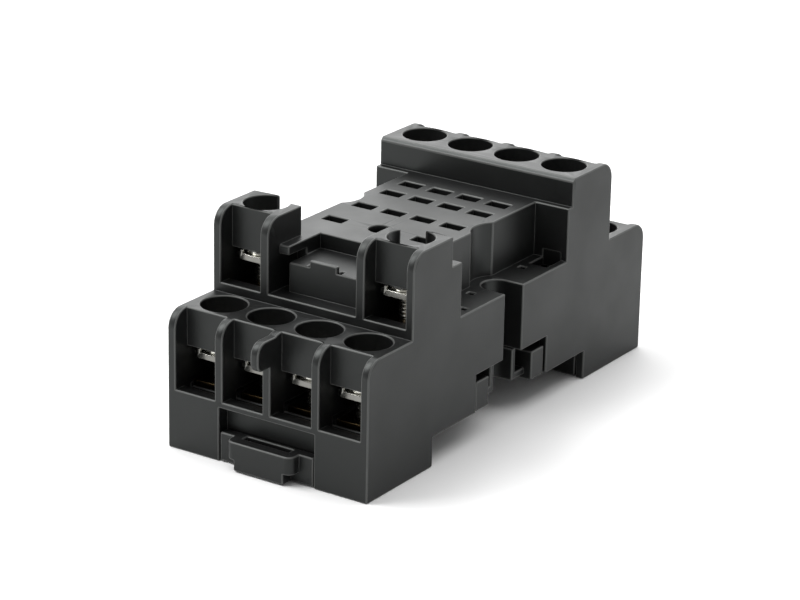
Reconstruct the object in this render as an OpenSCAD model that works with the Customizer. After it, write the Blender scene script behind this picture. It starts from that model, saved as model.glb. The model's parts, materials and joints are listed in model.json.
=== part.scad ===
// Socket for a 14-blade miniature relay, with screw terminals, for a 35 mm rail or a panel.
// X runs across the socket, Y from the latch end to the far end, Z up from the feet.
// Inside the modules Y is counted from the latch end's face; in_frame() centres it.

/* [Body] */
// Width of the socket
body_w = 29.5; // [29:0.1:30.5]
// Length of the housing without the latch tab
body_l = 64; // [63.5:0.1:66]
// Height of the lower terminal tiers at both ends
tier_z = 17.8; // [17.6:0.1:18]
// Height of the side shelves beside the relay deck
shelf_z = 17.7; // [17.5:0.1:17.8]
// Height of the deck that the relay sits on
deck_z = 24.75; // [24.5:0.05:25.2]
// Height of the corner towers and of the far terminal block
tower_z = 28.5; // [28:0.1:29.5]
// Half width of the deck body between the shelves
deck_half_w = 9.8; // [9.6:0.1:10]
// Thickness of the ribs between terminals and of the outer walls
rib = 1.15; // [1:0.05:1.2]

/* [Rail seat] */
// Length of the near foot, up to the rail
foot_l = 13.98; // [13.5:0.01:14.2]
// Width of the rail recess across the feet
rail_gap = 35.5; // [35.3:0.1:36]
// Height of the recess roof, which the rail's flanges bear on
seat_z = 3.9; // [3.7:0.1:4.1]

/* [Terminals] */
// Distance between neighbouring terminals
terminal_pitch = 7.1; // [7:0.05:7.1]
// Radius of the screwdriver wells
well_r = 2.9; // [2.85:0.05:2.95]
// Depth from the ribs' faces to the recessed face above a wire window
bay_depth = 2.4; // [2.2:0.1:2.5]
// Radius of the ribs' top corners
corner_r = 2.3; // [1.5:0.1:2.4]
// Height of the lower wire windows' sills
low_sill_z = 7.75; // [7.6:0.05:7.9]
// Height of the lower wire windows' tops
low_window_z = 12.75; // [12.6:0.05:13]
// Height of the upper wire windows' sills
high_sill_z = 19; // [18.9:0.05:19.1]
// Height of the upper wire windows' tops
high_window_z = 22.95; // [22.8:0.05:23.1]

/* [Screws and clamps] */
// Radius of the screw heads
head_r = 2.6; // [2.4:0.05:2.65]
// Height of the screw heads
head_h = 2.1; // [1.8:0.1:2.3]
// Radius of the screw shanks
shank_r = 1.45; // [1.4:0.01:1.47]
// Length of the screw shanks
shank_l = 5.2; // [5:0.1:5.3]
// Gap for the wire under a raised clamp plate
wire_gap = 2.9; // [2.7:0.1:3]
// Side of the clamp plates
plate_w = 5.4; // [5.2:0.1:5.5]

/* [Relay seat] */
// Width of the relay's body
relay_w = 21.74; // [21.5:0.01:22]
// Distance between blade columns
column_pitch = 4.4; // [4.3:0.05:4.4]
// Width of a blade slot
slot_w = 3; // [2.8:0.1:3]
// Length of a blade slot
slot_l = 1.8; // [1.6:0.1:1.9]
// Half width of the pocket in front of the relay
pocket_half_w = 5.05; // [4.8:0.05:5.1]
// Height of the pocket's floor
pocket_z = 22.75; // [22.6:0.05:22.9]

/* [Mounting] */
// Distance between the two mounting screws' centres
screw_span = 24.6; // [24.4:0.1:24.8]
// Radius of the mounting slots' inner ends
notch_r = 2.1; // [2:0.05:2.15]
// Radius of the room for a mounting screw's head
head_room_r = 3.55; // [3.4:0.05:3.6]

/* [Latch] */
// How far the pry tab stands out of the near face
tab_out = 1.6; // [1.4:0.1:1.8]
// Half width of the latch's front plate
latch_half_w = 6.9; // [6.7:0.05:6.95]
// How far the hook reaches under the rail
hook_reach = 1.3; // [1:0.1:1.5]
// How far the middle rib's beak stands out of the near face
beak_out = 2.4; // [2:0.1:2.6]

/* [Hidden] */
$fn = 48;
eps = 0.01;
half_w = body_w / 2;
inner_half_w = half_w - rib;
near_foot_y = foot_l;
far_foot_y = foot_l + rail_gap;
seat_mid_y = foot_l + rail_gap / 2;

// Rows of the outline, counted from the near face
near_block_y = 9.1;
near_back_y = 19.6;
tower_back_y = 17.48;
relay_y = 16.04;
pocket_back_y = 18.1;
far_lower_y = 44.26;
far_upper_y = 45.2;
tower_inner_x = 6.43;
near_recess_y = near_block_y + bay_depth;

// Terminals: 1 to 4 near and low, 5 and 6 in the towers, 7 to 10 far and high, 11 to 14 far and low
low_well_y = 5.9;
high_well_y = 14.5;
bay_half_w = (terminal_pitch - rib) / 2;
high_step = 10.3;
function is_high(i) = i > 4 && i < 11;
function is_far(i) = i > 6;
function lane(i) = i < 5 ? i - 1 : i < 7 ? 3 * (i - 5) : i < 11 ? i - 7 : i - 11;
function terminal_x(i) = (lane(i) - 1.5) * terminal_pitch;
function near_y(i) = is_high(i) ? high_well_y : low_well_y;
function terminal_y(i) = is_far(i) ? body_l - near_y(i) : near_y(i);
function lift(i) = is_high(i) ? high_step : 0;
function inward(i) = is_far(i) ? -1 : 1;

// Blade slots: columns across, rows along
coil_row_y = 23.4;
common_row_y = 29.9;
open_row_y = 36.1;
closed_row_y = 40.4;
cell_wall_y = [26.6, 33.1, 38.2];
function blade_x(i) = (lane(i) - 1.5) * column_pitch;
function blade_y(i) =
    i < 5 ? common_row_y : i < 7 ? coil_row_y : i < 11 ? closed_row_y : open_row_y;

// Levels of the metal parts at a low terminal
strip_t = 0.8;
strip_top_z = 8.3;
strip_z = strip_top_z - strip_t;
plate_z = strip_top_z + wire_gap;
plate_t = 0.8;
head_gap = 0.03;
head_z = plate_z + plate_t + head_gap;
slack = 0.05;
fork_z = 18;
fork_top_z = 23;
fork_half_w = 1.1;

// Cavities under the housing
deck_t = 1.4;
deck_wall = 1.25;
floor_z = 16.5;
low_room_z = 8.45;
cell_top_z = deck_z - deck_t;
cell_front_y = near_back_y - 0.2;
cell_back_y = far_lower_y - 0.25;
low_back_y = 8.9;
shaft_room_r = 1.9;
sill_d = 1.9;
sill_drop = 1;
room_wall = 0.9;
tongue_slit = 0.45;
tongue_half_w = 2;
pocket_floor_t = 1.25;
lip_t = 1.2;
undercut_y = 15.2;

// Skirt windows, lugs and bosses round the mounting slots
window_z = 8.9;
window_half_l = 8.22;
lug_near = 5;
lug_far = 7.9;
lug_z = 7.75;
boss_r = 3.25;
boss_low_z = seat_z + 0.6;
boss_relief_x = 9;
strip_rib_y = [20, 26.6, 38.2, 44];

// Latch
latch_top_z = seat_z - 0.05;
latch_bottom_z = 0.15;
latch_recess_z = 6.95;
latch_recess_d = 1.75;
front_wall = 3;
guide_half_w = 7.2;
neck_half_w = 5.2;
neck_z = 0.5;
flange_z = 1.5;
guide_z = 2.7;
gap = 0.15;

// The beak adds to the length at the near end, so the frame's middle moves with it
mid_y = (body_l - beak_out) / 2;
screw_n = 14;
function tag(i) = str(i < 10 ? "0" : "", i);
function names(stem) = [for (i = [1:screw_n]) str(stem, "_", tag(i))];

module in_frame() {
    translate([0, -mid_y, 0]) children();
}

// A box given by its lowest and highest corners
module block(low, high) {
    translate(low) cube(high - low);
}

// The same thing again, mirrored to the far end
module far_end() {
    translate([0, body_l, 0]) mirror([0, 1, 0]) children();
}

// Both sides of the socket
module both_sides() {
    children();
    mirror([1, 0, 0]) children();
}

// A terminal block across the socket whose top outer corner is round
module rounded_tier(front, back, bottom, top) {
    translate([-half_w, 0, 0]) rotate([90, 0, 90]) linear_extrude(body_w) {
        translate([front + corner_r, top - corner_r]) circle(corner_r);
        translate([front, bottom]) square([corner_r + eps, top - corner_r - bottom]);
        translate([front + corner_r, bottom]) square([back - front - corner_r, top - bottom]);
    }
}

// The bay between two ribs: a recess in the face, and the wire window's room behind it
module bay(x, front, sill, window, top, room_back) {
    block([x - bay_half_w, front - 1, sill], [x + bay_half_w, front + bay_depth, top + 1]);
    block([x - bay_half_w, front - 1, sill], [x + bay_half_w, room_back, window]);
}

// The screwdriver well over a terminal, from the wire window's top to the tier's top
module well(x, y, window, top) {
    translate([x, y, window - eps]) cylinder(r = well_r, h = top - window + 1);
}

// One end's four low terminals; behind each sill the room drops to the base cover
module low_rooms() {
    for (i = [1:4]) {
        x = terminal_x(i);
        bay(x, 0, low_sill_z, low_window_z, tier_z, low_back_y);
        well(x, low_well_y, low_window_z, tier_z);
        block([x - bay_half_w, sill_d, low_sill_z - sill_drop],
              [x + bay_half_w, front_wall + eps, low_sill_z + eps]);
    }
}

// The high terminals with the given numbers, as if at the near end, with room for the screws' ends
module high_rooms(numbers, room_back) {
    for (i = numbers) {
        x = terminal_x(i);
        bay(x, near_block_y, high_sill_z, high_window_z, tower_z, room_back);
        block([x - bay_half_w, near_block_y + sill_d, strip_z + high_step],
              [x + bay_half_w, room_back, high_sill_z + 1]);
        well(x, high_well_y, high_window_z, tower_z);
        translate([x, high_well_y, floor_z - 1]) cylinder(r = shaft_room_r, h = 3);
    }
}

// Outer form of the housing
module housing_outside() {
    rounded_tier(0, near_back_y, 0, tier_z);
    far_end() rounded_tier(0, near_back_y, 0, tier_z);
    block([-half_w, near_block_y, 0], [half_w, body_l - near_block_y, shelf_z]);
    near_towers();
    block([-deck_half_w, relay_y, shelf_z - 1], [deck_half_w, far_upper_y + 1, deck_z]);
    far_block();
    beak();
}

// The two corner towers, the wall between them and the step behind them
module near_towers() {
    difference() {
        union() {
            rounded_tier(near_block_y, tower_back_y, tier_z - 1, tower_z);
            block([-half_w, tower_back_y - 1, tier_z - 1], [half_w, near_back_y, deck_z]);
        }
        // Between the towers only the wall under the deck stays, behind a low sill
        block([-tower_inner_x, 0, deck_z], [tower_inner_x, near_back_y + 1, tower_z + 1]);
        block([-tower_inner_x, 0, high_sill_z], [tower_inner_x, near_recess_y, tower_z + 1]);
        // The relay's corners cut into the backs of the towers
        block([-relay_w / 2, relay_y, deck_z], [relay_w / 2, near_back_y + 1, tower_z + 1]);
        // Undercuts between the towers and the wall under the pocket leave two lips at the deck's level
        both_sides()
            block([pocket_half_w, near_block_y + bay_depth - 1, high_sill_z],
                  [tower_inner_x, undercut_y, deck_z - lip_t]);
    }
}

// The pocket in front of the relay
module pocket() {
    block([-pocket_half_w, 0, pocket_z], [pocket_half_w, pocket_back_y, deck_z + 1]);
}

// The far terminal block, its lower front and its chamfered upper front
module far_block() {
    chamfer = 0.45;
    difference() {
        far_end() rounded_tier(near_block_y, body_l - far_upper_y, tier_z - 1, tower_z);
        translate([0, far_upper_y, tower_z]) rotate([45, 0, 0])
            cube([body_w + 1, chamfer * sqrt(2), chamfer * sqrt(2)], center = true);
    }
    block([-half_w, far_lower_y, shelf_z - 1], [half_w, far_upper_y + 1, deck_z]);
}

// The beak on the middle rib: a round nose standing out of the near face
module beak() {
    top_z = tier_z - 0.3;
    low_z = 13.9;
    nose_r = 1.6;
    translate([-rib / 2, 0, 0]) rotate([90, 0, 90]) linear_extrude(rib) {
        translate([nose_r - beak_out, top_z - nose_r]) circle(nose_r);
        translate([nose_r - beak_out, top_z - nose_r]) square([beak_out + 1, nose_r]);
        translate([-beak_out, low_z + 1]) square([beak_out + 1, top_z - nose_r - low_z - 1]);
        translate([-beak_out + 1, low_z + 1]) circle(1);
        translate([-beak_out + 1, low_z]) square([beak_out, 1]);
    }
}

// The raised tongue at the front of the pocket floor
module pocket_tongue() {
    block([-tongue_half_w, near_recess_y, pocket_z - eps],
          [tongue_half_w, near_recess_y + 0.7, pocket_z + 0.85]);
}

// The slits on both sides of the tongue
module tongue_slits() {
    both_sides()
        block([tongue_half_w, near_recess_y + 0.3, pocket_z - 1],
              [tongue_half_w + tongue_slit, near_recess_y + 1.2, pocket_z + 1]);
}

// A slot for a mounting screw, open at the side of the socket
module mounting_slot(low, high) {
    both_sides() translate([screw_span / 2, seat_mid_y, low]) {
        cylinder(r = notch_r, h = high - low);
        translate([0, -notch_r, 0]) cube([half_w, 2 * notch_r, high - low]);
    }
}

// Cylinders round both mounting screws
module round_mounting(r, low, high) {
    both_sides() translate([screw_span / 2, seat_mid_y, low]) cylinder(r = r, h = high - low);
}

// Room inside the housing, open at the bottom, with the walls between the contacts left standing
module housing_inside() {
    block([-inner_half_w, front_wall, -1], [inner_half_w, body_l - front_wall, low_room_z]);
    difference() {
        union() {
            block([-inner_half_w, low_back_y + 1, low_room_z - eps],
                  [inner_half_w, body_l - low_back_y - 1, floor_z]);
            block([-deck_half_w + deck_wall, cell_front_y, floor_z - eps],
                  [deck_half_w - deck_wall, cell_back_y, cell_top_z]);
        }
        round_mounting(head_room_r + room_wall, floor_z, deck_z);
        round_mounting(boss_r, window_z, deck_z);
        cell_walls();
    }
    block([rib - pocket_half_w, near_recess_y + pocket_floor_t, floor_z - eps],
          [pocket_half_w - rib, near_back_y, pocket_z - pocket_floor_t]);
    strip_passages();
}

// Thin walls that part the fourteen contact cells
module cell_walls() {
    t = room_wall;
    low = 10;
    for (x = [-column_pitch, 0, column_pitch]) {
        start = x == 0 ? common_row_y - 3.3 : near_back_y;
        block([x - t / 2, start, low], [x + t / 2, far_lower_y, deck_z]);
    }
    for (y = cell_wall_y)
        block([-deck_half_w, y - t / 2, low], [deck_half_w, y + t / 2, deck_z]);
}

// Where the high contacts' strips run from their terminals to the cells
module strip_passages() {
    half = 1.4;
    low = strip_z + high_step - slack;
    high = strip_top_z + high_step + 3 * slack;
    for (i = [5, 6])
        block([blade_x(i) - half, near_y(i) + 1.2, low], [blade_x(i) + half, near_back_y, high]);
    for (i = [7:10])
        block([blade_x(i) - half, cell_back_y - 1, low], [blade_x(i) + half, far_upper_y + 2.5, high]);
}

// Fourteen blade slots and the round hole between the coil slots
module deck_openings() {
    for (i = [1:screw_n])
        translate([blade_x(i), blade_y(i), deck_z - deck_t / 2])
            cube([slot_w, slot_l, deck_t + 1], center = true);
    translate([0, coil_row_y + 0.3, deck_z - deck_t - 1]) cylinder(r = 1.5, h = deck_t + 2);
}

// Side windows of the skirt, where the base cover's lugs snap in
module skirt_windows() {
    both_sides()
        block([inner_half_w - 1, seat_mid_y - window_half_l, -1],
              [half_w + 1, seat_mid_y + window_half_l, window_z]);
}

// Small snap pockets in the shelves
module shelf_pockets() {
    both_sides() {
        block([11.2, far_lower_y - 3.2, floor_z - 1], [13.7, far_lower_y + eps, shelf_z + 1]);
        for (p = [[11.2, 27.3], [11.2, 39.2], [13.4, 22.2]])
            translate([p[0], p[1], shelf_z]) cube([0.9, 0.7, 1.6], center = true);
    }
}

// The housing: one black moulding with all fourteen wells and wire windows
module housing() {
    color([0.09, 0.09, 0.09]) {
        difference() {
            housing_outside();
            housing_inside();
            low_rooms();
            far_end() low_rooms();
            high_rooms([5, 6], near_back_y - rib);
            far_end() high_rooms([7:10], body_l - far_upper_y - 0.35);
            // The recess between the feet that the rail lies in
            block([-half_w - 1, near_foot_y, -1], [half_w + 1, far_foot_y, seat_z]);
            skirt_windows();
            mounting_slot(-1, shelf_z + 1);
            round_mounting(head_room_r, shelf_z, tower_z + 1);
            deck_openings();
            shelf_pockets();
            pocket();
            tongue_slits();
            // The latch's place in the near face, and its way through the wall
            block([-latch_half_w - gap, -1, -1], [latch_half_w + gap, latch_recess_d, latch_recess_z]);
            block([-neck_half_w - gap, 0, -1], [neck_half_w + gap, front_wall + eps, guide_z + gap]);
        }
        pocket_tongue();
    }
}

// The base cover's block in a foot, from the end wall to the recess for the rail
module foot_block(end) {
    block([-inner_half_w + gap, front_wall + slack, latch_bottom_z],
          [inner_half_w - gap, end, strip_z - 2 * slack]);
}

// A rail hook's side view, as if at the near foot: it reaches the given way under the flange
module hook_profile(start, tip) {
    polygon([[start, neck_z], [near_foot_y + 0.2, neck_z], [tip, flange_z], [tip, guide_z],
             [start, guide_z]]);
}

// A side view drawn in Y and Z, made as wide as the latch's neck
module across_neck() {
    rotate([90, 0, 90]) translate([0, 0, -neck_half_w]) linear_extrude(2 * neck_half_w) children();
}

// The base cover: closes the underside, carries the contacts and seats the rail
module base_cover() {
    plate_top_z = seat_z + 1.5;
    color([0.08, 0.08, 0.08]) difference() {
        union() {
            foot_block(near_foot_y);
            far_end() foot_block(body_l - far_foot_y);
            block([-inner_half_w + gap, near_foot_y - 1, seat_z],
                  [inner_half_w - gap, far_foot_y + 1, plate_top_z]);
            // Ribs that hold the contact strips up
            for (y = strip_rib_y)
                block([-10, y - 0.6, plate_top_z - eps], [10, y + 0.6, strip_z - 2 * slack]);
            intersection() {
                round_mounting(boss_r - gap, boss_low_z, window_z - gap);
                block([-inner_half_w + gap, 0, 0], [inner_half_w - gap, body_l, floor_z]);
            }
            both_sides() for (y = [seat_mid_y - lug_far, seat_mid_y + lug_near])
                block([11, y, seat_z], [half_w - 0.2, y + lug_far - lug_near, lug_z]);
            // The fixed hook that the rail's far flange goes under
            far_end() translate([0, body_l - far_foot_y - near_foot_y, 0]) across_neck()
                hook_profile(near_foot_y - 1, near_foot_y + hook_reach);
        }
        mounting_slot(-1, window_z + 1);
        // The plate is thinner round the panel screws
        both_sides()
            block([boss_relief_x, seat_mid_y - lug_near, seat_z - 1],
                  [inner_half_w, seat_mid_y + lug_near, boss_low_z]);
        // The latch's guide: a wide slot for its flanges over a narrower open channel
        block([-guide_half_w - gap, 0, flange_z - gap], [guide_half_w + gap, near_foot_y + 1, guide_z + gap]);
        block([-neck_half_w - gap, 0, -1], [neck_half_w + gap, near_foot_y + 1, flange_z]);
        // Room for the low screws' ends
        for (i = [1:screw_n]) if (!is_high(i))
            translate([terminal_x(i), terminal_y(i), seat_z + 0.2]) cylinder(r = shaft_room_r, h = 5);
    }
}

// The rail latch: front plate with pry tab, guide flanges and the hook under the rail's near flange
module rail_latch() {
    color([0.10, 0.10, 0.10]) {
        difference() {
            union() {
                block([-latch_half_w, 0.1, latch_bottom_z], [latch_half_w, 1.5, latch_top_z]);
                pry_tab();
            }
            // Screwdriver slot behind the tab
            block([-3.4, 0, latch_top_z - 1.7], [3.4, 0.95, latch_top_z + 1]);
        }
        block([-neck_half_w, 1.4, neck_z], [neck_half_w, near_foot_y - 0.8, guide_z]);
        block([-guide_half_w, 6.4, flange_z], [guide_half_w, near_foot_y - 0.8, guide_z]);
        across_neck() hook_profile(near_foot_y - 0.9, near_foot_y + hook_reach);
    }
}

// The tab a screwdriver pries on: a wide upper part with round corners over a narrower lower part
module pry_tab() {
    upper_half = 4.85;
    lower_half = 3.65;
    step_z = flange_z;
    r = 1;
    translate([0, 0, step_z]) linear_extrude(latch_top_z - step_z) {
        for (side = [-1, 1]) translate([side * (upper_half - r), r - tab_out]) circle(r);
        translate([-upper_half + r, -tab_out]) square([2 * (upper_half - r), tab_out + 0.2]);
        translate([-upper_half, r - tab_out]) square([2 * upper_half, tab_out + 0.2 - r]);
    }
    block([-lower_half, -tab_out, latch_bottom_z], [lower_half, 0.2, step_z + eps]);
}

// Stamped brass contact: screw tongue, strip, riser and the fork that grips a relay blade
module contact(i) {
    tongue_half = 2.5;
    jog_start = is_high(i) ? 1.9 : 3;
    jog_end = is_high(i) ? 3.8 : 8.1;
    d = inward(i);
    y = terminal_y(i);
    color([0.75, 0.6, 0.3]) {
        translate([0, 0, strip_z + lift(i)]) linear_extrude(strip_t) difference() {
            polygon([
                [terminal_x(i) - tongue_half, y - d * 2.85],
                [terminal_x(i) + tongue_half, y - d * 2.85],
                [terminal_x(i) + tongue_half, y + d * jog_start],
                [blade_x(i) + fork_half_w, y + d * jog_end],
                [blade_x(i) + fork_half_w, blade_y(i) + d * 0.8],
                [blade_x(i) - fork_half_w, blade_y(i) + d * 0.8],
                [blade_x(i) - fork_half_w, y + d * jog_end],
                [terminal_x(i) - tongue_half, y + d * jog_start]]);
            translate([terminal_x(i), y]) circle(shank_r + slack);
        }
        if (!is_high(i))
            translate([blade_x(i), blade_y(i), (strip_z + fork_z) / 2 + 0.2])
                cube([2 * fork_half_w, 0.8, fork_z - strip_z + 0.4], center = true);
        fork(i);
    }
}

// Two sprung leaves that bow in to grip the blade and flare at the mouth
module fork(i) {
    leaf = [[0.4, 18.9], [0.4, 19.3], [0.22, 21.7], [0.55, fork_top_z], [0.95, fork_top_z],
            [0.62, 21.7], [0.8, 19.3], [0.8, fork_z]];
    other = [for (k = [len(leaf) - 1:-1:0]) [-leaf[k][0], leaf[k][1]]];
    translate([blade_x(i) - fork_half_w, blade_y(i), 0]) rotate([90, 0, 90])
        linear_extrude(2 * fork_half_w) polygon(concat(leaf, other));
}

// Clamp plate that the screw presses onto the wire, with two ears turned up at its front
module clamp_plate(i) {
    ear_x = 1.75;
    ear_t = 0.45;
    ear_h = 0.5;
    half = plate_w / 2;
    translate([terminal_x(i), terminal_y(i), plate_z + lift(i)])
    rotate([0, 0, is_far(i) ? 180 : 0]) color([0.8, 0.8, 0.78]) difference() {
        union() {
            block([-half, -half + 0.3, 0], [half, half - 0.2, plate_t]);
            block([-ear_x - ear_t / 2, -half - 0.2, 0], [ear_x + ear_t / 2, half - 1, plate_t]);
            for (side = [-1, 1])
                block([side * ear_x - ear_t / 2, -half - 0.2, 0],
                      [side * ear_x + ear_t / 2, -half + 0.3, plate_t + ear_h]);
        }
        translate([0, 0, -1]) cylinder(r = shank_r + slack, h = 3);
        // Grooves that grip the wire
        for (y = [-1.9, 1.9])
            translate([0, y, 0]) rotate([45, 0, 0]) cube([plate_w + 1, 0.35, 0.35], center = true);
    }
}

// Terminal screw with a slotted cross recess
module screw(i) {
    slot_t = 0.8;
    slot_d = 1;
    edge = 0.35;
    translate([terminal_x(i), terminal_y(i), head_z + lift(i)]) color([0.82, 0.82, 0.8])
    difference() {
        union() {
            rotate_extrude() polygon([
                [0, 0], [head_r, 0], [head_r, head_h - edge], [head_r - edge, head_h], [0, head_h]]);
            translate([0, 0, -shank_l]) cylinder(r = shank_r, h = shank_l + eps);
        }
        translate([0, 0, head_h - slot_d / 2 + eps])
            cube([2 * head_r + 1, slot_t, slot_d], center = true);
        translate([0, 0, head_h - slot_d / 2 + eps]) cube([slot_t, 3, slot_d], center = true);
    }
}

in_frame() housing();
in_frame() base_cover();
in_frame() rail_latch();
for (i = [1:screw_n]) in_frame() contact(i);
for (i = [1:screw_n]) in_frame() clamp_plate(i);
for (i = [1:screw_n]) in_frame() screw(i);
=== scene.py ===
"""Looks of a screw-terminal relay socket: black mouldings, plated clamps and screws, brass contacts.

Every piece is a finished copy of a part of the frame, or a surface worked out with numpy. Lengths
are in metres, in the frame's own axes: X across the socket, Y towards its far end and Z up.
"""

import json
from math import cos, pi, radians, sin

import bmesh
import bpy
import numpy as np
from bpy.props import FloatProperty, FloatVectorProperty
from mathutils import Matrix, Vector

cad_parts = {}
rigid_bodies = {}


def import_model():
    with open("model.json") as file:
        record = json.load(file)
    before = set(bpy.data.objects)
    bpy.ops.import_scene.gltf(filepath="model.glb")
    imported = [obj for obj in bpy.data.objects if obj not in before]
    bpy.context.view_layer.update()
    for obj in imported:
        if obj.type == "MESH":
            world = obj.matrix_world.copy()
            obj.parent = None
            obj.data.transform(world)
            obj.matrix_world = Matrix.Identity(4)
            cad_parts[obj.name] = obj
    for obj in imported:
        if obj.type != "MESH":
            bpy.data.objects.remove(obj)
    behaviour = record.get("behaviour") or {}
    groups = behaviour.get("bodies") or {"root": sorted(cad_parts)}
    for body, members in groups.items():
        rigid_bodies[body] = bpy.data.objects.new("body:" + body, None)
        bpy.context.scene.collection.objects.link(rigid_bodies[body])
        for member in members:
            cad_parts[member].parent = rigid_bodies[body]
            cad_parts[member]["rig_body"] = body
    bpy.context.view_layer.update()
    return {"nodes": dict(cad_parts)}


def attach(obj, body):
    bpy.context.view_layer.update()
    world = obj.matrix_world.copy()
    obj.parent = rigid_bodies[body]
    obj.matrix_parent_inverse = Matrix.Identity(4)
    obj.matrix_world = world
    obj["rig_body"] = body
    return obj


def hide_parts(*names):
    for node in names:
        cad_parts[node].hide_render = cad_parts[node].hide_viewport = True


bl_info = {
    "name": "Relay socket finish",
    "version": (1, 0, 0),
    "blender": (4, 5, 0),
    "location": "View3D > Sidebar > Relay socket",
    "description": "Finishes the moulded, stamped and turned pieces of a screw-terminal relay socket",
    "category": "Object",
}

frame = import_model()

MM = 0.001
TERMINALS = range(1, 15)
MERGE = 0.002 * MM
SHARP = radians(30)
FLAT = radians(0.05)
INNER_SHARE = 0.2
CLAMP_EDGE = 1.6


def tag(number):
    """The two figures that a terminal's pieces end with."""
    return f"{number:02d}"


# ---------------------------------------------------------------- settings


class SocketPlastic(bpy.types.PropertyGroup):
    """Finish of the black mouldings."""

    colour: FloatVectorProperty(
        name="Colour", description="Base colour of the moulded plastic",
        default=(0.005, 0.005, 0.0052), subtype="COLOR", min=0, max=1)
    latch_colour: FloatVectorProperty(
        name="Latch colour", description="Base colour of the rail latch",
        default=(0.006, 0.006, 0.0062), subtype="COLOR", min=0, max=1)
    # Painted highlight: this colour, much lighter than the plastic, goes on the faces of every rounded
    # edge, inner ones too, in place of the light that the edges catch.
    rubbed: FloatVectorProperty(
        name="Highlight", description="Colour of the mouldings' outer edges, where handling dulls them",
        default=(0.080, 0.081, 0.079), subtype="COLOR", min=0, max=1)
    roughness: FloatProperty(
        name="Roughness", description="Roughness of the moulded faces", default=0.42, min=0, max=1)
    grain: FloatProperty(
        name="Grain", description="Size of the mould's fine grain",
        default=0.16 * MM, subtype="DISTANCE", unit="LENGTH", min=0.01 * MM)
    edge: FloatProperty(
        name="Edge", description="Radius of the mouldings' edges",
        default=0.18 * MM, subtype="DISTANCE", unit="LENGTH", min=0)


class SocketMetal(bpy.types.PropertyGroup):
    """Finish of the stamped and turned metal."""

    plating: FloatVectorProperty(
        name="Plating", description="Colour of the plated steel",
        default=(0.86, 0.85, 0.79), subtype="COLOR", min=0, max=1)
    # Painted shade: the contacts' colour is kept far below brass's own, so that they read as the shade
    # inside the terminal windows.
    brass: FloatVectorProperty(
        name="Brass", description="Colour of the contacts",
        default=(0.15, 0.105, 0.05), subtype="COLOR", min=0, max=1)
    # Partly painted shade: the clamps' upright faces keep only this share of the plating's colour,
    # partly for the dull steel that the press shears bare and partly for shade on their fronts.
    sheared_and_shaded: FloatProperty(
        name="Sheared and shaded", description="Share of the plating's colour that the clamps' cut faces keep",
        default=0.3, min=0, max=1)
    burr: FloatProperty(
        name="Edge", description="Radius of the stamped edges",
        default=0.05 * MM, subtype="DISTANCE", unit="LENGTH", min=0)
    pitch: FloatProperty(
        name="Pitch", description="Pitch of the terminal screws' thread",
        default=0.5 * MM, subtype="DISTANCE", unit="LENGTH", min=0.2 * MM)
    thread_depth: FloatProperty(
        name="Thread depth", description="Depth of the thread, from crest to root",
        default=0.28 * MM, subtype="DISTANCE", unit="LENGTH", min=0)


class SocketStage(bpy.types.PropertyGroup):
    """Floor, light and camera."""

    floor: FloatVectorProperty(
        name="Floor", description="Colour of the floor",
        default=(0.96, 0.96, 0.96), subtype="COLOR", min=0, max=1)
    front: FloatProperty(
        name="Front", description="Strength of the room's light from the front", default=0.4, min=0)
    key: FloatProperty(
        name="Key", description="Radiance of the lamp over the latch end", default=5.8, min=0)
    sheen: FloatProperty(
        name="Sheen", description="Radiance of the low lamp behind the socket", default=1.6, min=0)
    top: FloatProperty(
        name="Top", description="Radiance of the lamp overhead", default=1.6, min=0)
    azimuth: FloatProperty(
        name="Azimuth", description="Camera's direction round the socket",
        default=radians(33.62), subtype="ANGLE", unit="ROTATION")
    elevation: FloatProperty(
        name="Elevation", description="Camera's height over the floor",
        default=radians(20.36), subtype="ANGLE", unit="ROTATION")
    roll: FloatProperty(
        name="Roll", description="Camera's turn about its own axis",
        default=radians(1.15), subtype="ANGLE", unit="ROTATION")
    distance: FloatProperty(
        name="Distance", description="Distance from the camera to what it looks at",
        default=0.39381, subtype="DISTANCE", unit="LENGTH", min=0.1)
    lens: FloatProperty(
        name="Lens", description="Focal length in millimetres", default=139.03, min=10)


# ---------------------------------------------------------------- materials


def new_material(name):
    """An empty node material with its output, and the function that adds a node to it."""
    material = bpy.data.materials.new(name)
    material.use_nodes = True
    tree = material.node_tree
    tree.nodes.clear()

    def add(kind, **values):
        node = tree.nodes.new(kind)
        for key, value in values.items():
            setattr(node, key, value)
        return node

    return material, tree, add


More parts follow.
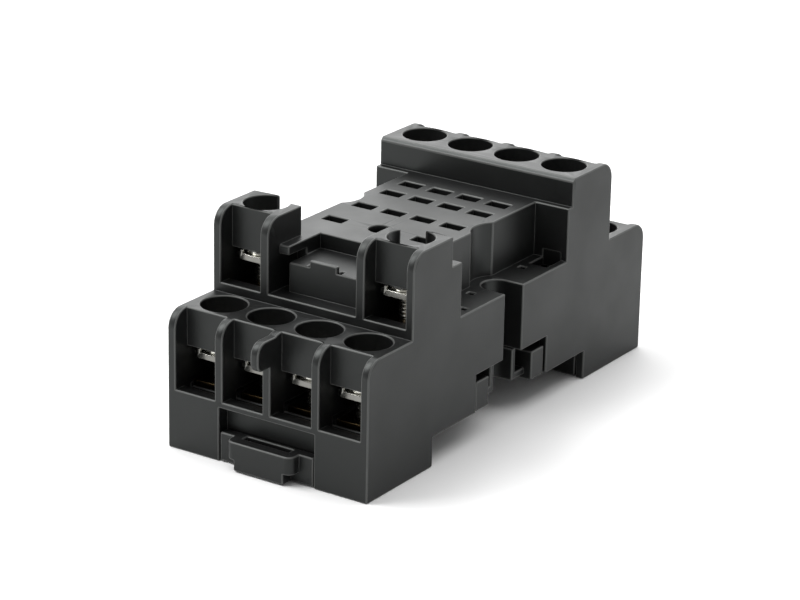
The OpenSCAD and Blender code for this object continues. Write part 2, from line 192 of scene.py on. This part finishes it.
def plastic_material(name, colour, roughness, grain):
    """Black moulded plastic: a slightly clouded colour, and the spark-eroded grain of its mould."""
    material, tree, add = new_material(name)
    link = tree.links.new
    place = add("ShaderNodeTexCoord")
    cloud = add("ShaderNodeTexNoise")
    cloud.inputs["Scale"].default_value = 140
    cloud.inputs["Detail"].default_value = 3
    tint = add("ShaderNodeValToRGB")
    tint.color_ramp.elements[0].position = 0.3
    tint.color_ramp.elements[0].color = (*[c * 0.86 for c in colour], 1)
    tint.color_ramp.elements[1].position = 0.7
    tint.color_ramp.elements[1].color = (*[c * 1.14 for c in colour], 1)
    grit = add("ShaderNodeTexNoise")
    grit.inputs["Scale"].default_value = 1 / grain
    grit.inputs["Detail"].default_value = 2
    gloss = add("ShaderNodeMapRange")
    gloss.inputs["From Min"].default_value = 0.3
    gloss.inputs["From Max"].default_value = 0.7
    gloss.inputs["To Min"].default_value = roughness - 0.05
    gloss.inputs["To Max"].default_value = roughness + 0.05
    bump = add("ShaderNodeBump")
    bump.inputs["Strength"].default_value = 0.22
    bump.inputs["Distance"].default_value = grain * 0.12
    skin = add("ShaderNodeBsdfPrincipled")
    skin.inputs["IOR"].default_value = 1.52
    skin.inputs["Specular Tint"].default_value = (0.95, 1, 0.975, 1)
    out = add("ShaderNodeOutputMaterial")
    link(place.outputs["Object"], cloud.inputs["Vector"])
    link(place.outputs["Object"], grit.inputs["Vector"])
    link(cloud.outputs["Fac"], tint.inputs["Fac"])
    link(cloud.outputs["Fac"], gloss.inputs["Value"])
    link(grit.outputs["Fac"], bump.inputs["Height"])
    link(tint.outputs["Color"], skin.inputs["Base Color"])
    link(gloss.outputs["Result"], skin.inputs["Roughness"])
    link(bump.outputs["Normal"], skin.inputs["Normal"])
    link(skin.outputs["BSDF"], out.inputs["Surface"])
    return material


def metal_material(name, colour, roughness, grain, stain, cut_and_shade=1):
    """Plated or bare stamped metal: fine rolling lines, and a faint stain that dulls it in places.

    Upright faces keep the share of the colour given as the last argument: partly the dull steel that
    the press shears bare, partly painted shade that darkens those faces.
    """
    material, tree, add = new_material(name)
    link = tree.links.new
    place = add("ShaderNodeTexCoord")
    stretch = add("ShaderNodeMapping")
    stretch.inputs["Scale"].default_value = (1, 0.15, 1)
    lines = add("ShaderNodeTexNoise")
    lines.inputs["Scale"].default_value = 1 / grain
    lines.inputs["Detail"].default_value = 2
    cloud = add("ShaderNodeTexNoise")
    cloud.inputs["Scale"].default_value = 420
    cloud.inputs["Detail"].default_value = 4
    tint = add("ShaderNodeValToRGB")
    tint.color_ramp.elements[0].position = 0.25
    tint.color_ramp.elements[0].color = (*[c * stain for c in colour], 1)
    tint.color_ramp.elements[1].position = 0.6
    tint.color_ramp.elements[1].color = (*colour, 1)
    # Painted shade, partly real: faces whose normal lies near level keep only a share of the colour,
    # both for dull sheared steel and for shade on the clamps' fronts.
    parts = add("ShaderNodeSeparateXYZ")
    upright = add("ShaderNodeMath", operation="ABSOLUTE")
    share = add("ShaderNodeMapRange")
    share.inputs["From Min"].default_value = 0.15
    share.inputs["From Max"].default_value = 0.6
    share.inputs["To Min"].default_value = cut_and_shade
    shade = add("ShaderNodeVectorMath", operation="SCALE")
    gloss = add("ShaderNodeMapRange")
    gloss.inputs["To Min"].default_value = roughness + 0.1
    gloss.inputs["To Max"].default_value = roughness - 0.04
    bump = add("ShaderNodeBump")
    bump.inputs["Strength"].default_value = 0.25
    bump.inputs["Distance"].default_value = grain * 0.1
    skin = add("ShaderNodeBsdfPrincipled")
    skin.inputs["Metallic"].default_value = 1
    out = add("ShaderNodeOutputMaterial")
    link(place.outputs["Object"], stretch.inputs["Vector"])
    link(place.outputs["Object"], cloud.inputs["Vector"])
    link(stretch.outputs["Vector"], lines.inputs["Vector"])
    link(cloud.outputs["Fac"], tint.inputs["Fac"])
    link(cloud.outputs["Fac"], gloss.inputs["Value"])
    link(lines.outputs["Fac"], bump.inputs["Height"])
    link(place.outputs["Normal"], parts.inputs["Vector"])
    link(parts.outputs["Z"], upright.inputs[0])
    link(upright.outputs[0], share.inputs["Value"])
    link(tint.outputs["Color"], shade.inputs[0])
    link(share.outputs["Result"], shade.inputs["Scale"])
    link(shade.outputs["Vector"], skin.inputs["Base Color"])
    link(gloss.outputs["Result"], skin.inputs["Roughness"])
    link(bump.outputs["Normal"], skin.inputs["Normal"])
    link(skin.outputs["BSDF"], out.inputs["Surface"])
    return material


# ---------------------------------------------------------------- meshes


def merged_mesh(node, name):
    """A copy of a frame node's mesh with its corners merged, and its sharp edges marked.

    The flat faces' triangles are evened out first. Outer edges are marked for the whole radius, and
    inner ones for a small share of it.
    """
    shell = bmesh.new()
    shell.from_mesh(frame["nodes"][node].data)
    bmesh.ops.remove_doubles(shell, verts=shell.verts, dist=MERGE)
    bmesh.ops.dissolve_degenerate(shell, edges=shell.edges, dist=MERGE)
    flat = [edge for edge in shell.edges if edge.is_manifold and edge.calc_face_angle() < FLAT]
    bmesh.ops.beautify_fill(shell, faces=shell.faces, edges=flat, method="ANGLE")
    rounded = shell.edges.layers.float.new("bevel_weight_edge")
    for edge in shell.edges:
        if edge.is_manifold and edge.calc_face_angle() > SHARP:
            edge[rounded] = 1 if edge.is_convex else INNER_SHARE
    mesh = bpy.data.meshes.new(name)
    shell.to_mesh(mesh)
    shell.free()
    return mesh


def mesh_object(name, mesh, material):
    """A piece at the origin with one material, whose whole mesh is shaded smooth."""
    mesh.materials.clear()
    mesh.materials.append(material)
    mesh.polygons.foreach_set("use_smooth", np.ones(len(mesh.polygons), bool))
    piece = bpy.data.objects.new(name, mesh)
    bpy.context.scene.collection.objects.link(piece)
    return piece


def round_edges(piece, radius):
    """Rounds a piece's sharp edges, and keeps its flat faces flat in the shading."""
    bevel = piece.modifiers.new("edges", "BEVEL")
    bevel.width = radius
    bevel.segments = 2
    bevel.limit_method = "WEIGHT"
    bevel.use_clamp_overlap = False
    bevel.loop_slide = False
    bevel.miter_outer = "MITER_ARC"
    bevel.face_strength_mode = "FSTR_ALL"
    shading = piece.modifiers.new("shading", "WEIGHTED_NORMAL")
    shading.mode = "FACE_AREA"
    shading.weight = 100
    shading.use_face_influence = True
    return piece


def finished_copy(node, name, material, radius, body):
    """A frame node's own form with rounded edges, which rides and shows in the node's place."""
    piece = round_edges(mesh_object(name, merged_mesh(node, name), material), radius)
    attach(piece, body)
    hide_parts(node)
    return piece


def body_of_node(node):
    """The name of the body that a node of the frame belongs to."""
    return frame["nodes"][node]["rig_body"]


def thread_points(radius, depth, pitch, low, high, turn_steps=28):
    """Points of a right-hand thread as a ridge carried up a helix, and its faces.

    Along the path the angle a grows, and the height is low + pitch * (1 / 2 + a / (2 pi)). The
    ridge's section is a flat-topped tooth: root, crest, crest, root, with the crest at radius and the
    root sunk just below radius - depth. Both ends fade to the root over half a turn, and end caps
    close the ridge.
    """
    turns = (high - low) / pitch - 1
    steps = int(turns * turn_steps)
    angle = np.linspace(0, 2 * pi * turns, steps)
    fade = np.clip(np.minimum(angle, angle[-1] - angle) / pi, 0, 1)
    sunk = 0.02 * MM
    root = radius - depth - sunk
    crest = root + (radius - root) * fade
    section_z = np.array([-0.42, -0.07, 0.07, 0.42]) * pitch
    section_r = np.stack([np.full(steps, root), crest, crest, np.full(steps, root)], axis=1)
    height = low + pitch * 0.5 + pitch * angle[:, None] / (2 * pi) + section_z[None, :]
    points = np.stack(
        [section_r * np.cos(angle)[:, None], section_r * np.sin(angle)[:, None], height], axis=2)
    width = len(section_z)
    rows = np.arange(steps - 1)[:, None] * width
    columns = np.arange(width)[None, :]
    after = (columns + 1) % width
    quads = np.stack(
        [rows + columns, rows + columns + width, rows + after + width, rows + after], axis=2)
    start = np.array([[3, 2, 1, 0]])
    end = start[:, ::-1] + (steps - 1) * width
    return points.reshape(-1, 3), np.concatenate([quads.reshape(-1, 4), start, end])


def add_points(mesh, points, faces):
    """Adds points and faces, worked out elsewhere, to a mesh that already has some."""
    extra = bpy.data.meshes.new("extra")
    extra.from_pydata(points.tolist(), [], faces.tolist())
    both = bmesh.new()
    both.from_mesh(mesh)
    both.from_mesh(extra)
    both.to_mesh(mesh)
    both.free()
    bpy.data.meshes.remove(extra)


# ---------------------------------------------------------------- pieces


class SOCKET_OT_stage(bpy.types.Operator):
    """Lays the floor, and sets the room's light, the lamps and the camera"""

    bl_idname = "relay_socket.stage"
    bl_label = "Stage"

    def execute(self, context):
        settings = context.scene.socket_stage
        scene = context.scene
        scene.view_settings.view_transform = "Standard"
        self.floor(settings)
        self.room(scene, settings)
        middle = Vector((0, 0, 0.014))
        for name, azimuth, elevation, distance, size in (
                ("key", -58, 48, 1.3, 0.8),
                ("sheen", 213, 24, 1.6, 1.5),
                ("top", 180, 80, 1.4, 1.8)):
            towards = (radians(azimuth), radians(elevation))
            self.lamp(name, middle, *towards, distance, size, getattr(settings, name))
        self.camera(scene, settings)
        return {"FINISHED"}

    def floor(self, settings):
        """A wide plain floor, which is white to the camera and keeps the socket's shadow."""
        material, tree, add = new_material("floor")
        path = add("ShaderNodeLightPath")
        tone = add("ShaderNodeMix", data_type="RGBA")
        tone.inputs["A"].default_value = (*[c * 0.75 for c in settings.floor], 1)
        tone.inputs["B"].default_value = (*settings.floor, 1)
        matt = add("ShaderNodeBsdfDiffuse")
        out = add("ShaderNodeOutputMaterial")
        tree.links.new(path.outputs["Is Camera Ray"], tone.inputs["Factor"])
        tree.links.new(tone.outputs["Result"], matt.inputs["Color"])
        tree.links.new(matt.outputs["BSDF"], out.inputs["Surface"])
        half = 3.0
        mesh = bpy.data.meshes.new("floor")
        corners = np.array([[-half, -half, 0], [half, -half, 0], [half, half, 0], [-half, half, 0]])
        mesh.from_pydata(corners.tolist(), [], [[0, 1, 2, 3]])
        mesh_object("floor", mesh, material)

    def room(self, scene, settings):
        """A white room that dims towards the front, and that the camera itself sees white all round."""
        world = bpy.data.worlds.new("room")
        scene.world = world
        world.use_nodes = True
        tree = world.node_tree
        tree.nodes.clear()
        away = tree.nodes.new("ShaderNodeTexCoord")
        behind = tree.nodes.new("ShaderNodeVectorMath")
        behind.operation = "DOT_PRODUCT"
        behind.inputs[1].default_value = (-0.55, 0.83, 0)
        level = tree.nodes.new("ShaderNodeMapRange")
        level.interpolation_type = "SMOOTHSTEP"
        level.inputs["From Min"].default_value = -0.3
        level.inputs["From Max"].default_value = 0.5
        level.inputs["To Min"].default_value = settings.front
        level.inputs["To Max"].default_value = 1
        path = tree.nodes.new("ShaderNodeLightPath")
        strength = tree.nodes.new("ShaderNodeMath")
        strength.operation = "MAXIMUM"
        sky = tree.nodes.new("ShaderNodeBackground")
        out = tree.nodes.new("ShaderNodeOutputWorld")
        link = tree.links.new
        link(away.outputs["Generated"], behind.inputs[0])
        link(behind.outputs["Value"], level.inputs["Value"])
        link(level.outputs["Result"], strength.inputs[0])
        link(path.outputs["Is Camera Ray"], strength.inputs[1])
        link(strength.outputs[0], sky.inputs["Strength"])
        link(sky.outputs["Background"], out.inputs["Surface"])

    def lamp(self, name, middle, azimuth, elevation, distance, size, radiance):
        """A square soft lamp of a given radiance, facing the socket's middle from a direction."""
        away = Vector((
            sin(azimuth) * cos(elevation), -cos(azimuth) * cos(elevation), sin(elevation)))
        light = bpy.data.lights.new(name, "AREA")
        light.shape = "SQUARE"
        light.size = size
        light.energy = radiance * pi * size * size
        lamp = bpy.data.objects.new(name, light)
        lamp.location = middle + away * distance
        lamp.rotation_euler = away.to_track_quat("Z", "Y").to_euler()
        bpy.context.scene.collection.objects.link(lamp)

    def camera(self, scene, settings):
        """The camera faces a point a little behind the middle, shifted beside and below its axis."""
        a, e = settings.azimuth, settings.elevation
        back = Vector((sin(a) * cos(e), -cos(a) * cos(e), sin(e)))
        level = Vector((cos(a), sin(a), 0))
        over = back.cross(level)
        right = cos(settings.roll) * level + sin(settings.roll) * over
        up = -sin(settings.roll) * level + cos(settings.roll) * over
        aim = Vector((0, 5.2 * MM, 15 * MM))
        beside, below = 4.28 * MM, 3.08 * MM
        place = aim + back * settings.distance - right * beside - up * below
        data = bpy.data.cameras.new("camera")
        data.lens = settings.lens
        data.clip_start = 0.01
        camera = bpy.data.objects.new("camera", data)
        camera.matrix_world = Matrix.Translation(place) @ Matrix(
            (right, up, back)).transposed().to_4x4()
        scene.collection.objects.link(camera)
        scene.camera = camera


class SOCKET_OT_mouldings(bpy.types.Operator):
    """Finishes the housing, the base cover and the rail latch with rounded edges and a fine grain"""

    bl_idname = "relay_socket.mouldings"
    bl_label = "Mouldings"

    def execute(self, context):
        settings = context.scene.socket_plastic
        finish = (settings.roughness, settings.grain)
        black = plastic_material("moulded_black", settings.colour, *finish)
        latch = plastic_material("latch_black", settings.latch_colour, *finish)
        # The painted highlight for the rounded edges: a lighter copy of the plastic.
        rubbed = plastic_material("rubbed_edges", settings.rubbed, *finish)
        for node, name, material, slot in (
                ("housing", "housing_moulding", black, "housing_plastic"),
                ("base_cover", "base_moulding", black, "base_plastic"),
                ("rail_latch", "latch_moulding", latch, "latch_plastic")):
            piece = finished_copy(node, name, material, settings.edge, body_of_node(node))
            # The bevel's faces take the second material, the painted edge highlight.
            piece.data.materials.append(rubbed)
            piece.modifiers["edges"].material = 1
        return {"FINISHED"}


class SOCKET_OT_contacts(bpy.types.Operator):
    """Finishes the fourteen brass contacts"""

    bl_idname = "relay_socket.contacts"
    bl_label = "Contacts"

    def execute(self, context):
        settings = context.scene.socket_metal
        # The contacts take the darkened brass, painted shade for the terminal windows' insides.
        brass = metal_material(
            "contact_brass", settings.brass, roughness=0.17, grain=0.09 * MM, stain=0.8)
        for i in TERMINALS:
            node = f"contact_{tag(i)}"
            body = body_of_node(node)
            finished_copy(node, f"stamped_{node}", brass, settings.burr, body)
        return {"FINISHED"}


class SOCKET_OT_clamps(bpy.types.Operator):
    """Finishes the fourteen clamp plates"""

    bl_idname = "relay_socket.clamps"
    bl_label = "Clamp plates"

    def execute(self, context):
        settings = context.scene.socket_metal
        # The clamps' upright faces are darkened: partly dull sheared steel, partly painted shade.
        steel = metal_material(
            "plated_clamp", settings.plating, roughness=0.15, grain=0.07 * MM, stain=0.85,
            cut_and_shade=settings.sheared_and_shaded)
        edge = settings.burr * CLAMP_EDGE
        for i in TERMINALS:
            node = f"clamp_plate_{tag(i)}"
            body = body_of_node(node)
            finished_copy(node, f"plated_{node}", steel, edge, body)
        return {"FINISHED"}


class SOCKET_OT_screws(bpy.types.Operator):
    """Finishes the fourteen terminal screws: a slotted head, a thinner core and a thread round it"""

    bl_idname = "relay_socket.screws"
    bl_label = "Screws"

    def execute(self, context):
        settings = context.scene.socket_metal
        steel = metal_material(
            "plated_screw", settings.plating, roughness=0.18, grain=0.06 * MM, stain=0.8)
        for i in TERMINALS:
            self.screw(settings, f"screw_{tag(i)}", steel)
        return {"FINISHED"}

    def screw(self, settings, node, steel):
        """One screw: the head keeps its form, the shank shrinks to the root, and the ridge is added."""
        name = f"plated_{node}"
        mesh = merged_mesh(node, name)
        points = np.empty(len(mesh.vertices) * 3)
        mesh.vertices.foreach_get("co", points)
        points = points.reshape(-1, 3)
        axis = (points.min(0) + points.max(0)) / 2
        across = np.hypot(points[:, 0] - axis[0], points[:, 1] - axis[1])
        end_z = points[:, 2].min()
        margin = 0.1 * MM
        shank_r = across[points[:, 2] < end_z + margin].max()
        head_z = points[across > shank_r * 1.3, 2].min()
        shank = (abs(across / shank_r - 1) < 0.1) & (points[:, 2] < head_z + margin)
        squeeze = 1 - settings.thread_depth / shank_r
        points[shank, :2] = axis[:2] + (points[shank, :2] - axis[:2]) * squeeze
        mesh.vertices.foreach_set("co", points.ravel())
        ridge, faces = thread_points(
            shank_r, settings.thread_depth, settings.pitch, end_z + margin, head_z - 2 * margin)
        add_points(mesh, ridge + np.array([axis[0], axis[1], 0]), faces)
        piece = mesh_object(name, mesh, steel)
        round_edges(piece, settings.burr)
        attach(piece, body_of_node(node))
        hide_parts(node)


class VIEW3D_PT_relay_socket(bpy.types.Panel):
    """Lists the socket's pieces and their settings"""

    bl_idname = "VIEW3D_PT_relay_socket"
    bl_label = "Relay socket"
    bl_space_type = "VIEW_3D"
    bl_region_type = "UI"
    bl_category = "Relay socket"

    def draw(self, context):
        for operator in OPERATORS:
            self.layout.operator(operator.bl_idname)
        for group in (
                context.scene.socket_plastic, context.scene.socket_metal, context.scene.socket_stage):
            box = self.layout.box()
            for name in group.__annotations__:
                box.prop(group, name)


GROUPS = {"socket_plastic": SocketPlastic, "socket_metal": SocketMetal, "socket_stage": SocketStage}
OPERATORS = (
    SOCKET_OT_stage, SOCKET_OT_mouldings, SOCKET_OT_contacts, SOCKET_OT_clamps, SOCKET_OT_screws)


def register():
    """Registers the settings, the operators and the panel."""
    for name, group in GROUPS.items():
        bpy.utils.register_class(group)
        setattr(bpy.types.Scene, name, bpy.props.PointerProperty(type=group))
    for operator in OPERATORS:
        bpy.utils.register_class(operator)
    bpy.utils.register_class(VIEW3D_PT_relay_socket)


def unregister():
    """Takes away what register added."""
    bpy.utils.unregister_class(VIEW3D_PT_relay_socket)
    for operator in reversed(OPERATORS):
        bpy.utils.unregister_class(operator)
    for name, group in reversed(GROUPS.items()):
        delattr(bpy.types.Scene, name)
        bpy.utils.unregister_class(group)


def main():
    """Makes the whole scene."""
    register()
    bpy.ops.relay_socket.stage()
    bpy.ops.relay_socket.mouldings()
    bpy.ops.relay_socket.contacts()
    bpy.ops.relay_socket.clamps()
    bpy.ops.relay_socket.screws()


if __name__ == "__main__":
    main()
